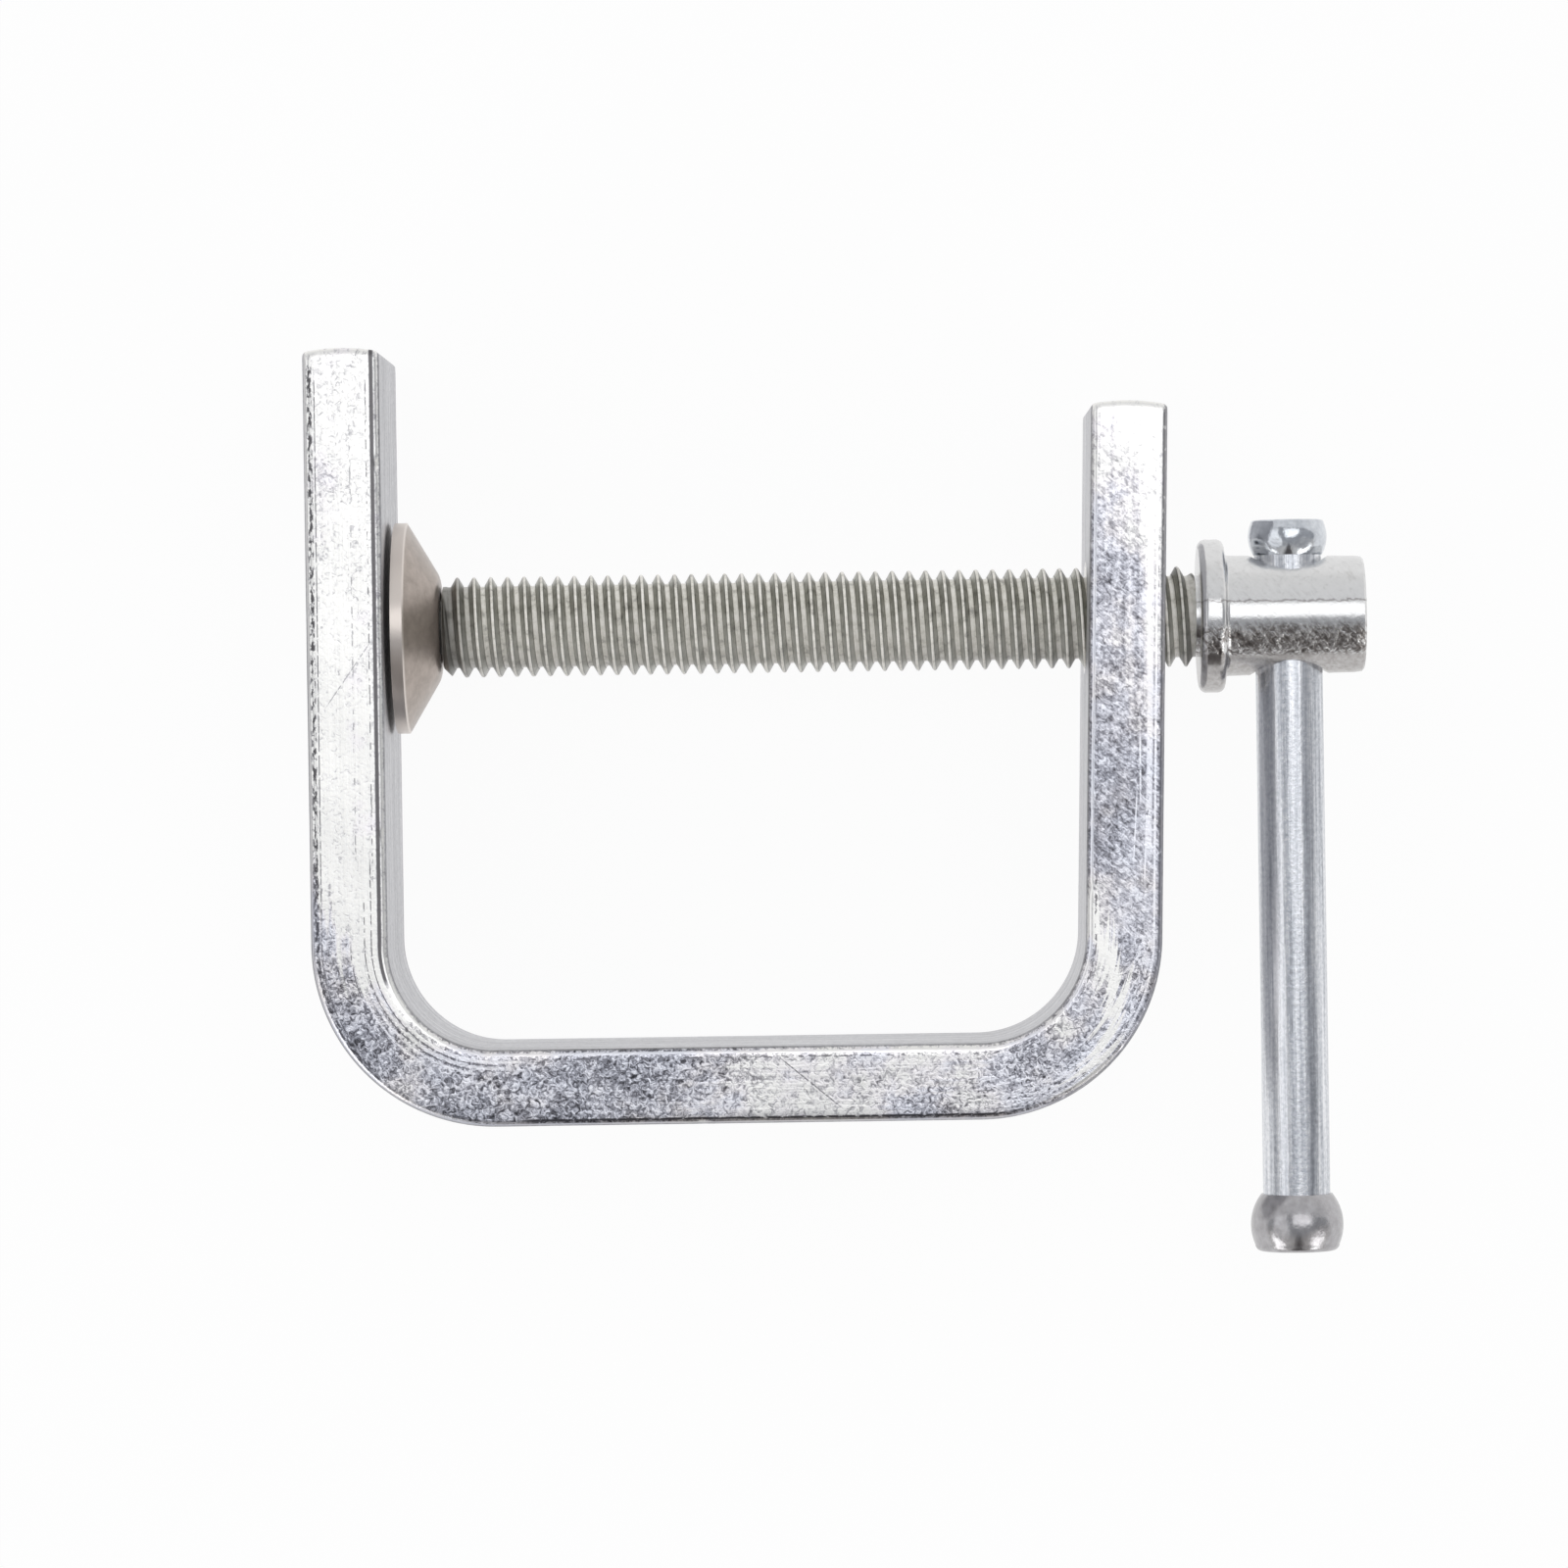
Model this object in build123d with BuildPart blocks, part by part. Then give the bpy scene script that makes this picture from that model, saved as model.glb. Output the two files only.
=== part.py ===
from build123d import *

import os
from math import asin, degrees, radians, sin, sqrt, tan

# A small bench clamp, in millimetres: a flat steel bar bent to a U, a screw through one leg
# with a swivel pad on its tip, and a sliding bar through the screw's head.
#
# The origin is the point on the fixed jaw's face at which the screw is aimed. +X runs along
# the screw, from the fixed jaw to the head, +Y runs towards the tips of the legs, and +Z is
# up as the clamp lies on its side. The screw is drawn wound in, with the pad at the jaw.

# Frame: one flat bar with two bends
bar_thickness = 9.0
bar_width = 30.0
bar_edge_radius = 1.0
jaw_opening = 83.0  # between the inner faces of the two legs, at the screw's axis
throat_depth = 50.0  # from the screw's axis to the bar between the legs
inner_bend_radius = 12.5
jaw_leg_reach = 32.4  # the fixed leg's end, past the screw's axis
screw_leg_reach = 24.8  # the tapped leg's end, past the screw's axis
screw_leg_lean = 1.4  # degrees that the tapped leg leans outwards, as it sprang back
leg_end_crown = 0.45
leg_end_corner_radius = 0.7

# Spindle: one forging with a rolled thread, shown by its crest cylinder
thread_diameter = 12.0
thread_depth = 1.15
thread_end_chamfer = 1.1
thread_clearance = 0.05  # radial, in the tapped leg
thread_mouth_chamfer = 0.5
thread_runout = 1.0  # from full thread down to the neck
collar_neck_length = 0.4  # plain neck between the thread and the collar
collar_standoff = 4.5  # from the tapped leg to the collar, with the pad at the jaw
collar_height = 3.15  # how far the collar stands out of the thread
collar_thickness = 3.1
collar_rim_radius = 0.9
head_diameter = 14.4  # the round head, at the collar
head_taper = 0.5  # how much narrower its far end is
head_length = 16.6
head_end_roll = 0.12  # how far its end is rolled in
head_end_roll_length = 1.1
head_end_chamfer = 0.25
head_root_radius = 0.5

# Sliding bar: a round bar with both ends upset to heads
rod_diameter = 8.0
rod_hole_clearance = 0.15  # radial
rod_hole_chamfer = 0.6
rod_hole_offset = 7.7  # from the collar to the middle of the hole
rod_length = 76.3  # between the two heads
rod_seat_gap = 0.05  # from the small head to the top of the spindle's head
small_head_upset = 0.69  # how far the head swells past the bar
small_head_root_upset = 0.1
small_head_end_upset = 0.35
small_head_length = 4.2
small_head_widest = 1.9  # from its root to its widest place
small_head_corner_radius = 0.25
large_head_upset = 1.5
large_head_root_upset = 0.25
large_head_end_upset = 0.7
large_head_length = 6.8
large_head_widest = 3.2
large_head_corner_radius = 0.8

# Swivel pad, and the screw's tip inside it
pad_diameter = 25.2
pad_rim_width = 1.4
pad_face_wall = 1.1  # metal between the pad's face and its socket
pad_mouth_wall = 1.05  # metal between the wire ring's groove and the pad's mouth
pad_mouth_lip = 1.7  # metal round the socket at its mouth
pad_shoulder_radius = 3.0  # where the cone rounds over into its mouth
pad_corner_radius = 0.3
pad_tilt = 3.0  # degrees each way
button_diameter = 8.0
button_dome_radius = 6.0
button_side = 0.37  # straight part of its side, behind the dome
button_shoulder = 0.8  # step from the button down to the neck
ring_wire_diameter = 0.9
ring_overreach = 0.15  # of the wire's centre line past the button's edge
ring_side_gap = 0.05
ring_opening = 45.0  # degrees left open in the wire ring
free_gap = 0.04  # least air between the pad and what it tilts against

# Places along the screw, from the fixed jaw outwards
tilt = radians(pad_tilt)
pad_face = pad_diameter / 2 * sin(tilt) + free_gap
socket_floor = pad_face + pad_face_wall
button_start = socket_floor + free_gap
button_radius = button_diameter / 2
dome_side = sqrt(button_dome_radius**2 - button_radius**2)
swivel_centre = button_start + button_dome_radius
button_end = swivel_centre - dome_side + button_side
ring_middle = button_end + ring_side_gap + ring_wire_diameter / 2
ring_radius = button_radius + ring_overreach
ring_outside = ring_radius + ring_wire_diameter / 2
groove_half_width = ring_wire_diameter / 2 + ring_outside * tan(tilt) + free_gap
pad_mouth = ring_middle + groove_half_width + pad_mouth_wall
thread_front_radius = thread_diameter / 2 - thread_end_chamfer
thread_start = pad_mouth + thread_front_radius * sin(tilt) + free_gap
screw_leg_outside = jaw_opening + bar_thickness
collar_start = screw_leg_outside + collar_standoff
head_start = collar_start + collar_thickness
head_end = head_start + head_length
rod_axis = head_start + rod_hole_offset


def head_radius_at(x):
    """Radius of the spindle's head, which narrows a little towards its far end."""
    return head_diameter / 2 - head_taper / 2 * (x - head_start) / head_length


def circles_of_radius(part, radius):
    """The part's circular edges of one radius."""
    circles = part.edges().filter_by(GeomType.CIRCLE)
    return circles.filter_by(lambda edge: abs(edge.radius - radius) < 0.001)


def mouths_of_hole(part, radius):
    """The edges at both ends of the part's plain hole of one radius."""
    round_walls = part.faces().filter_by(GeomType.CYLINDER)
    hole_walls = round_walls.filter_by(lambda wall: abs(wall.radius - radius) < 0.001)
    return hole_walls.edges().filter_by(GeomType.LINE, reverse=True)


# Frame: the bar's side view, pushed out both ways to the bar's width
leg_middle = bar_thickness / 2
leg_lean = radians(screw_leg_lean)
outer_bend_radius = inner_bend_radius + bar_thickness
spine_outside = -throat_depth - bar_thickness
tapped_hole_radius = thread_diameter / 2 + thread_clearance


def inner_face_at(y):
    """Where the tapped leg's inner face stands along the screw, at a height y."""
    return jaw_opening + y * tan(leg_lean)


def outer_face_at(y):
    """Where the tapped leg's outer face stands along the screw, at a height y."""
    return screw_leg_outside + y * tan(leg_lean)


with BuildPart() as frame:
    with BuildSketch(Plane.XY) as bar_side:
        with BuildLine():
            FilletPolyline(
                (0, jaw_leg_reach),
                (0, -throat_depth),
                (inner_face_at(-throat_depth), -throat_depth),
                (inner_face_at(screw_leg_reach), screw_leg_reach),
                radius=inner_bend_radius,
            )
            ThreePointArc(
                (inner_face_at(screw_leg_reach), screw_leg_reach),
                (inner_face_at(screw_leg_reach) + leg_middle, screw_leg_reach + leg_end_crown),
                (outer_face_at(screw_leg_reach), screw_leg_reach),
            )
            FilletPolyline(
                (outer_face_at(screw_leg_reach), screw_leg_reach),
                (outer_face_at(spine_outside), spine_outside),
                (-bar_thickness, spine_outside),
                (-bar_thickness, jaw_leg_reach),
                radius=outer_bend_radius,
            )
            ThreePointArc(
                (-bar_thickness, jaw_leg_reach),
                (-leg_middle, jaw_leg_reach + leg_end_crown),
                (0, jaw_leg_reach),
            )
        make_face()
        leg_end_corners = bar_side.vertices().filter_by(lambda corner: corner.Y > 0)
        fillet(leg_end_corners, radius=leg_end_corner_radius)
    extrude(amount=bar_width / 2, both=True)
    fillet(frame.faces().filter_by(Axis.Z).edges(), radius=bar_edge_radius)

    # The tapped hole, at the diameter of the thread's crests, with both mouths broken
    hole_start = outer_face_at(tapped_hole_radius)
    hole_end = inner_face_at(-tapped_hole_radius)
    with Locations(Plane(origin=(hole_start, 0, 0), z_dir=(1, 0, 0))):
        Hole(radius=tapped_hole_radius, depth=hole_start - hole_end)
    chamfer(mouths_of_hole(frame, tapped_hole_radius), length=thread_mouth_chamfer)
frame.part.label = "frame"


# Spindle: button, neck, thread, collar and round head, turned from one outline
neck_radius = button_radius - button_shoulder
thread_radius = thread_diameter / 2
thread_root_radius = thread_radius - thread_depth
collar_radius = thread_radius + collar_height
roll_start = head_end - head_end_roll_length
head_end_radius = head_radius_at(head_end) - head_end_roll
dome_angle = degrees(asin(button_radius / button_dome_radius))
rod_hole_radius = rod_diameter / 2 + rod_hole_clearance

with BuildPart() as spindle:
    with BuildSketch(Plane.XY):
        with BuildLine():
            dome = CenterArc((swivel_centre, 0), button_dome_radius, 180, -dome_angle)
            Polyline(
                dome @ 1,
                (button_end, button_radius),
                (button_end, neck_radius),
                (thread_start, neck_radius),
                (thread_start, thread_front_radius),
                (thread_start + thread_end_chamfer, thread_radius),
                (collar_start - collar_neck_length - thread_runout, thread_radius),
                (collar_start - collar_neck_length, thread_root_radius),
                (collar_start, thread_root_radius),
                (collar_start, collar_radius),
                (head_start, collar_radius),
                (head_start, head_radius_at(head_start)),
                (roll_start, head_radius_at(roll_start)),
                (head_end, head_end_radius),
                (head_end, 0),
                dome @ 0,
            )
        make_face()
    revolve(axis=Axis.X)
    fillet(circles_of_radius(spindle, collar_radius), radius=collar_rim_radius)
    fillet(circles_of_radius(spindle, head_radius_at(head_start)), radius=head_root_radius)
    chamfer(circles_of_radius(spindle, head_end_radius), length=head_end_chamfer)

    # The cross hole for the sliding bar, with its saddle-shaped mouths broken
    with Locations(Plane(origin=(rod_axis, head_diameter / 2, 0), z_dir=(0, 1, 0))):
        Hole(radius=rod_hole_radius, depth=head_diameter)
    chamfer(mouths_of_hole(spindle, rod_hole_radius), length=rod_hole_chamfer)
spindle.part.label = "spindle"


# Swivel pad: a turned cone with a socket for the button and a groove for the wire ring
swing_at_button = (swivel_centre - button_end) * sin(tilt)
swing_at_ring = (swivel_centre - ring_middle) * sin(tilt)
socket_radius = button_radius + swing_at_button + 2 * free_gap
groove_radius = ring_outside + swing_at_ring + 2 * free_gap
pad_radius = pad_diameter / 2
pad_mouth_radius = socket_radius + pad_mouth_lip

with BuildPart() as swivel_pad:
    with BuildSketch(Plane.XY) as pad_half:
        with BuildLine():
            Polyline(
                (pad_face, 0),
                (pad_face, pad_radius),
                (pad_face + pad_rim_width, pad_radius),
                (pad_mouth, pad_mouth_radius),
                (pad_mouth, socket_radius),
                (ring_middle + groove_half_width, socket_radius),
                (ring_middle + groove_half_width, groove_radius),
                (ring_middle - groove_half_width, groove_radius),
                (ring_middle - groove_half_width, socket_radius),
                (socket_floor, socket_radius),
                (socket_floor, 0),
                (pad_face, 0),
            )
        make_face()
        outer_corners = pad_half.vertices().filter_by(
            lambda corner: corner.Y > pad_mouth_radius - 0.001
        )
        fillet(outer_corners.sort_by(Axis.X)[-1], radius=pad_shoulder_radius)
        fillet(outer_corners.sort_by(Axis.X)[:-1], radius=pad_corner_radius)
    revolve(axis=Axis.X)
swivel_pad.part.label = "swivel_pad"


# Snap ring: a spring wire bent round the neck, behind the button and in the pad's groove
with BuildPart() as snap_ring:
    with BuildSketch(Plane.XY):
        with Locations((ring_middle, ring_radius)):
            Circle(ring_wire_diameter / 2)
    revolve(axis=Axis.X, revolution_arc=360 - ring_opening)
snap_ring.part.label = "snap_ring"


# Sliding bar: half its outline, beside its own axis, from the small head to the large one
rod_radius = rod_diameter / 2
small_head_radius = rod_radius + small_head_upset
small_head_root_radius = rod_radius + small_head_root_upset
small_head_end_radius = rod_radius + small_head_end_upset
small_head_base = head_radius_at(rod_axis) + rod_seat_gap
small_head_middle = small_head_base + small_head_widest
small_head_end = small_head_base + small_head_length
large_head_radius = rod_radius + large_head_upset
large_head_root_radius = rod_radius + large_head_root_upset
large_head_end_radius = rod_radius + large_head_end_upset
large_head_base = small_head_base - rod_length
large_head_middle = large_head_base - large_head_widest
large_head_end = large_head_base - large_head_length

with BuildPart() as tommy_bar:
    with BuildSketch(Plane(origin=(rod_axis, 0, 0))) as bar_half:
        with BuildLine():
            Polyline(
                (rod_radius, large_head_base),
                (rod_radius, small_head_base),
                (small_head_root_radius, small_head_base),
            )
            ThreePointArc(
                (small_head_root_radius, small_head_base),
                (small_head_radius, small_head_middle),
                (small_head_end_radius, small_head_end),
            )
            Polyline(
                (small_head_end_radius, small_head_end),
                (0, small_head_end),
                (0, large_head_end),
                (large_head_end_radius, large_head_end),
            )
            ThreePointArc(
                (large_head_end_radius, large_head_end),
                (large_head_radius, large_head_middle),
                (large_head_root_radius, large_head_base),
            )
            Line((large_head_root_radius, large_head_base), (rod_radius, large_head_base))
        make_face()
        end_corners = bar_half.vertices().filter_by(lambda corner: corner.X > rod_radius)
        fillet(end_corners.sort_by(Axis.Y)[-1], radius=small_head_corner_radius)
        fillet(end_corners.sort_by(Axis.Y)[0], radius=large_head_corner_radius)
    revolve(axis=Axis((rod_axis, 0, 0), (0, 1, 0)))
tommy_bar.part.label = "tommy_bar"


os.makedirs("parts", exist_ok=True)
export_step(frame.part, "parts/frame.step")
export_step(spindle.part, "parts/spindle.step")
export_step(snap_ring.part, "parts/snap_ring.step")
export_step(swivel_pad.part, "parts/swivel_pad.step")
export_step(tommy_bar.part, "parts/tommy_bar.step")
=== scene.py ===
"""A small bench clamp, lying on its side on a white table: a zinc-plated bar bent to a U, a
coarse screw with a turned swivel pad, and a sliding bar through the screw's head.

Lengths are in metres. The origin is on the fixed jaw's face, +X runs along the screw, +Y
towards the tips of the bar and +Z is up.
"""

import math

import bmesh
import bpy
from mathutils import Matrix, Vector, noise


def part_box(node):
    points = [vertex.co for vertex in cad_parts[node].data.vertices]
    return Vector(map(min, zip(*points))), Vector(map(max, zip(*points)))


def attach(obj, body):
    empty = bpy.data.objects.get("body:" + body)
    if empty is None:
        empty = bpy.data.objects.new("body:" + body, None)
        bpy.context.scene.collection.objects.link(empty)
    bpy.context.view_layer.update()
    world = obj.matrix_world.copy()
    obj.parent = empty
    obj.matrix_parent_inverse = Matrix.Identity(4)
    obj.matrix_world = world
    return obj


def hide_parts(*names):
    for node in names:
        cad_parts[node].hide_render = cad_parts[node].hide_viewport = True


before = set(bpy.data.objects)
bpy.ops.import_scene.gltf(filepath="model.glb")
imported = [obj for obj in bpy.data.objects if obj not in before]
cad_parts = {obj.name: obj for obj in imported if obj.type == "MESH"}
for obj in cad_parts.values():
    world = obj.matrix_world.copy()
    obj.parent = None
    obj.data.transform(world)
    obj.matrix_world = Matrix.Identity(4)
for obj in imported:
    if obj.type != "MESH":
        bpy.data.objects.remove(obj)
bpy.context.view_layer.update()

MM = 0.001
# Places no further apart than this count as one
SAME_PLACE = 0.01 * MM

# The bent bar
BAR_THICKNESS = 9 * MM
BAR_WIDTH = 30 * MM
JAW_OPENING = 83 * MM
THROAT_DEPTH = 50 * MM
INNER_BEND_RADIUS = 12.5 * MM
JAW_LEG_REACH = 32.4 * MM
SCREW_LEG_REACH = 24.8 * MM
SCREW_LEG_LEAN = math.radians(1.4)
ARRIS_RADIUS = 0.85 * MM
ARRIS_UNEVENNESS = 0.12 * MM
SMALLEST_ARRIS = 0.3 * MM
FACE_WAVE = 0.035 * MM
TIP_CROWN = 0.43 * MM
TIP_CROWN_REACH = 3 * MM
TIP_ROUNDING = 0.55 * MM
TAPPED_HOLE_WAY = 217.5 * MM
# Steps of its mesh: along the bar, and round its section
STATION_STEP = 0.5 * MM
ARRIS_STEPS = 6
NARROW_FACE_STEPS = 12
WIDE_FACE_STEPS = 30
# Nicks in the arrises, in mm: way along, out across, up, size and depth
NICKS = [
    (13.5, -4.3, 14.8, 0.45, 0.35),
    (57.0, -4.3, 14.8, 0.4, 0.2),
    (121.0, 4.3, 14.8, 0.5, 0.2),
    (186.0, -4.3, 14.8, 0.4, 0.25),
    (30.0, 4.3, -14.8, 0.5, 0.3),
    (205.0, 4.3, 14.8, 0.4, 0.2),
]

# The bar's plate. Ways run along its middle line, from the fixed leg's tip to the tapped leg's
BAR_LENGTH_MM = 243.6
LINES_FADE_WAY = 12 * MM
# Its lightness at parts of the way
BAR_LIGHTNESS = [
    (0.0, 0.97), (0.28, 1.06), (0.31, 0.76), (0.43, 0.68), (0.49, 0.77), (0.54, 0.92),
    (0.605, 0.9), (0.63, 0.77), (0.702, 0.75), (0.71, 1.15), (0.719, 1.15), (0.727, 0.72),
    (0.86, 0.71), (0.93, 0.86), (0.97, 1.0),
]
# Its roller lines and scratches, in mm: the way to the start and how far out across the bar it
# lies, the same for the end, the width, the lightness, and how much of the line is there
BAR_LINES = [
    (-2, 4.3, 250, 4.3, 0.5, 0.8, 1.0),
    (-2, -3.6, 76, -3.6, 0.65, 0.4, 1.0),
    (3, -2.9, 62, -2.9, 0.18, 0.5, 0.5),
    (8, -0.95, 60, -0.95, 0.24, 0.68, 0.5),
    (3, 3.1, 80, 3.2, 0.18, 0.5, 0.75),
    (1, 3.7, 84, 3.75, 0.8, 0.4, 0.55),
    (34, -3.2, 42, 2.4, 0.22, 0.7, 0.75),
    (64, -3.0, 100, -3.1, 0.5, 1.0, 0.9),
    (66, -2.2, 98, -2.4, 0.45, 1.0, 0.9),
    (66, -1.4, 94, -1.6, 0.4, 1.0, 0.8),
    (62, -0.7, 88, -0.7, 0.35, 1.0, 0.8),
    (60, -2.6, 97, -2.75, 0.17, 0.45, 0.75),
    (64, -1.8, 92, -2.0, 0.17, 0.45, 0.65),
    (70, -0.2, 86, -0.3, 0.17, 0.5, 0.65),
    (70, -3.95, 236, -3.85, 0.45, 1.0, 1.0),
    (100, -3.35, 205, -3.35, 0.4, 0.5, 0.5),
    (160, 4.2, 246, 4.2, 0.55, 0.6, 0.85),
    (151, 2.5, 181, 2.3, 3.4, 0.96, 0.55),
    (100, 3.8, 157, 3.8, 0.35, 0.36, 0.75),
    (72, 4.05, 100, 4.05, 0.3, 1.0, 0.9),
    (160, 3.5, 236, 3.4, 0.34, 1.0, 0.95),
    (190, 2.75, 228, 2.75, 0.9, 0.97, 0.9),
    (128, -3.0, 134, 2.2, 0.3, 0.98, 0.7),
    (130, -3.2, 137, 2.6, 0.25, 0.5, 0.7),
    (196, 1.75, 204, 1.6, 0.26, 1.0, 0.9),
    (189, 1.0, 197, 1.3, 0.22, 1.0, 0.85),
    (187, 2.3, 196, 2.5, 0.26, 1.0, 0.9),
]

# The screw
THREAD_RADIUS = 6 * MM
THREAD_DEPTH = 1.15 * MM
THREAD_PITCH = 2 * MM
THREAD_CREST_ROUNDING = 0.22 * MM
THREAD_ROOT_ROUNDING = 0.11 * MM
THREAD_FRONT_RADIUS = 4.9 * MM
THREAD_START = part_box("swivel_pad")[1].x + 0.3 * MM
THREAD_CLEARANCE = 0.05 * MM
THREAD_MOUTH_CHAMFER = 0.5 * MM
THREAD_RUNOUT = 1.0 * MM
COLLAR_START = 96.5 * MM
COLLAR_NECK = 0.4 * MM
NECK_RADIUS = 3.2 * MM
BUTTON_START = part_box("spindle")[0].x
BUTTON_RADIUS = 4 * MM
BUTTON_DOME_RADIUS = 6 * MM
BUTTON_SIDE = 0.37 * MM
# Steps of its mesh: round the axis, and over the button's dome
ROUND_STEPS = 96
DOME_STEPS = 10

# The sliding bar
ROD_RADIUS = 4 * MM
ROD_AXIS = 107.3 * MM
ROD_STEPS = 60
SMALL_HEAD_ROOT = 7.13 * MM
LARGE_HEAD_ROOT = SMALL_HEAD_ROOT - 76.3 * MM
# Its heads as (radius, place along the bar): where each leaves the rod, is widest and ends
SMALL_HEAD = [
    (4.1 * MM, SMALL_HEAD_ROOT),
    (4.69 * MM, SMALL_HEAD_ROOT + 1.9 * MM),
    (4.37 * MM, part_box("tommy_bar")[1].y),
]
LARGE_HEAD = [
    (4.25 * MM, LARGE_HEAD_ROOT),
    (5.5 * MM, LARGE_HEAD_ROOT - 3.2 * MM),
    (5.05 * MM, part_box("tommy_bar")[0].y),
]
SMALL_HEAD_CORNER = 0.35 * MM
LARGE_HEAD_CORNER = 0.8 * MM
# Dents in its heads, in mm: across from the rod's axis, along the bar, up, size and depth
HEAD_DENTS = [
    (-1.7, 8.6, 4.3, 1.0, 0.15),
    (1.7, 8.6, 4.3, 1.0, 0.15),
    (-2.1, -73.6, 4.7, 1.3, 0.12),
    (2.3, -73.8, 4.6, 1.2, 0.1),
]

# The table, the lamps and the camera
TABLE_HALF_WIDTH = 4.0
TABLE_OWN_WHITE = 0.94
LAMP_HEIGHT = 2.0
# The angles that each lamp fills, in degrees from straight up, along X and along Y, and its
# radiance
SOFTBOXES = {
    "overhead_softbox": (-12, 38, -4, 23, 1.22),
    "side_softbox": (-60, -30, -25, 25, 0.75),
    "near_left_softbox": (-66, -45, -66, -38, 2.4),
    "near_right_softbox": (45, 66, -66, -38, 2.4),
}
CAMERA_PLACE = Vector((56.2 * MM, -13.7 * MM, 800 * MM))
CAMERA_AIM = Vector((46.73 * MM, -19.3 * MM, 0))
CAMERA_ROLL = math.radians(0.87)
CAMERA_LENS = 153.54
SENSOR_WIDTH = 36.0


def linear(hex_colour):
    """An sRGB hex colour as the linear RGBA that shaders take."""
    channels = [int(hex_colour[i : i + 2], 16) / 255 for i in (1, 3, 5)]
    return [c / 12.92 if c <= 0.04045 else ((c + 0.055) / 1.055) ** 2.4 for c in channels] + [1]


def smooth_noise(place, size, seed=0.0):
    """Noise of about -1 to 1 at a place, with hills about this size across."""
    return noise.noise(Vector(place) / size + Vector((seed, 1.7 * seed, 0.6 * seed)))


def dents_in_metres(rows, x=0.0):
    """Dents as (centre, size, depth), from rows in mm whose first place is counted from x."""
    return [(Vector((x + first * MM, second * MM, third * MM)), size * MM, depth * MM)
        for first, second, third, size, depth in rows]


def dent_depth(place, dents):
    """How far in a surface is pressed at a place, by dents of (centre, size, depth)."""
    depth = 0.0
    for centre, size, deepest in dents:
        distance = (place - centre).length
        depth += deepest * math.exp(-((distance / size) ** 2))
    return depth


def clean_mesh(name, vertices, faces, bar_places=None):
    """A mesh with its doubled vertices merged and its faces turned outwards. bar_places are
    vectors, one for each vertex, that the bar's material reads."""
    mesh = bpy.data.meshes.new(name)
    mesh.from_pydata(vertices, [], faces)
    if bar_places:
        places = mesh.attributes.new("bar_place", "FLOAT_VECTOR", "POINT")
        places.data.foreach_set("vector", [value for place in bar_places for value in place])
    work = bmesh.new()
    work.from_mesh(mesh)
    bmesh.ops.remove_doubles(work, verts=work.verts, dist=1e-7)
    bmesh.ops.dissolve_degenerate(work, edges=work.edges, dist=1e-8)
    bmesh.ops.recalc_face_normals(work, faces=work.faces)
    work.to_mesh(mesh)
    work.free()
    return mesh


def new_piece(mesh):
    piece = bpy.data.objects.new(mesh.name, mesh)
    bpy.context.scene.collection.objects.link(piece)
    return piece


def shade_smooth(mesh):
    """Smooth shading, with an edge wherever faces meet at over 40 degrees."""
    mesh.shade_smooth()
    mesh.set_sharp_from_angle(angle=math.radians(40))


def fit_piece(piece, body, node):
    """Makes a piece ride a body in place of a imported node."""
    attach(piece, body)
    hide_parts(node)


def ring(x, radius):
    """Vertices round the screw's axis."""
    turns = [2 * math.pi * i / ROUND_STEPS for i in range(ROUND_STEPS)]
    return [(x, radius * math.cos(turn), radius * math.sin(turn)) for turn in turns]


def ring_faces(rings, count, first=0):
    """Faces between rings of vertices that follow one another, each ring closed on itself."""
    faces = []
    for row in range(rings - 1):
        low, high = first + row * count, first + (row + 1) * count
        for i in range(count):
            j = (i + 1) % count
            faces.append((low + i, low + j, high + j, high + i))
    return faces


# Materials


def new_material(name):
    material = bpy.data.materials.new(name)
    material.use_nodes = True
    material.node_tree.nodes.clear()
    return material, material.node_tree


def add_node(tree, kind, inputs=(), output=0, stops=None, **settings):
    """Adds a node, applies its settings, sets or links its inputs and fills its colour ramp.
    Inputs are given by name or in the node's own order, which for a map range is the value,
    where it runs from and to, and what that becomes. Returns one output, or all for None."""
    node = tree.nodes.new(kind)
    for key, value in settings.items():
        setattr(node, key, value)
    for key, value in inputs.items() if isinstance(inputs, dict) else enumerate(inputs):
        if isinstance(value, bpy.types.NodeSocket):
            tree.links.new(value, node.inputs[key])
        else:
            node.inputs[key].default_value = value
    if stops:
        ramp = node.color_ramp.elements
        ramp.remove(ramp[1])
        for i, (position, colour) in enumerate(stops):
            stop = ramp[0] if i == 0 else ramp.new(position)
            stop.position = position
            stop.color = linear(colour) if isinstance(colour, str) else [colour] * 3 + [1]
    return node.outputs if output is None else node.outputs[output]


def finish_metal(tree, colour, normal, roughness, metallic=1.0):
    """Ends a metal's tree in its shader, which keeps the default IOR."""
    shader = add_node(tree, "ShaderNodeBsdfPrincipled", {"Base Color": colour,
        "Metallic": metallic, "Roughness": roughness, "Normal": normal})
    add_node(tree, "ShaderNodeOutputMaterial", [shader], None)


def per_mm(size_mm):
    """The scale at which a pattern on coordinates in metres repeats every so many mm."""
    return 1000 / size_mm


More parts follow.
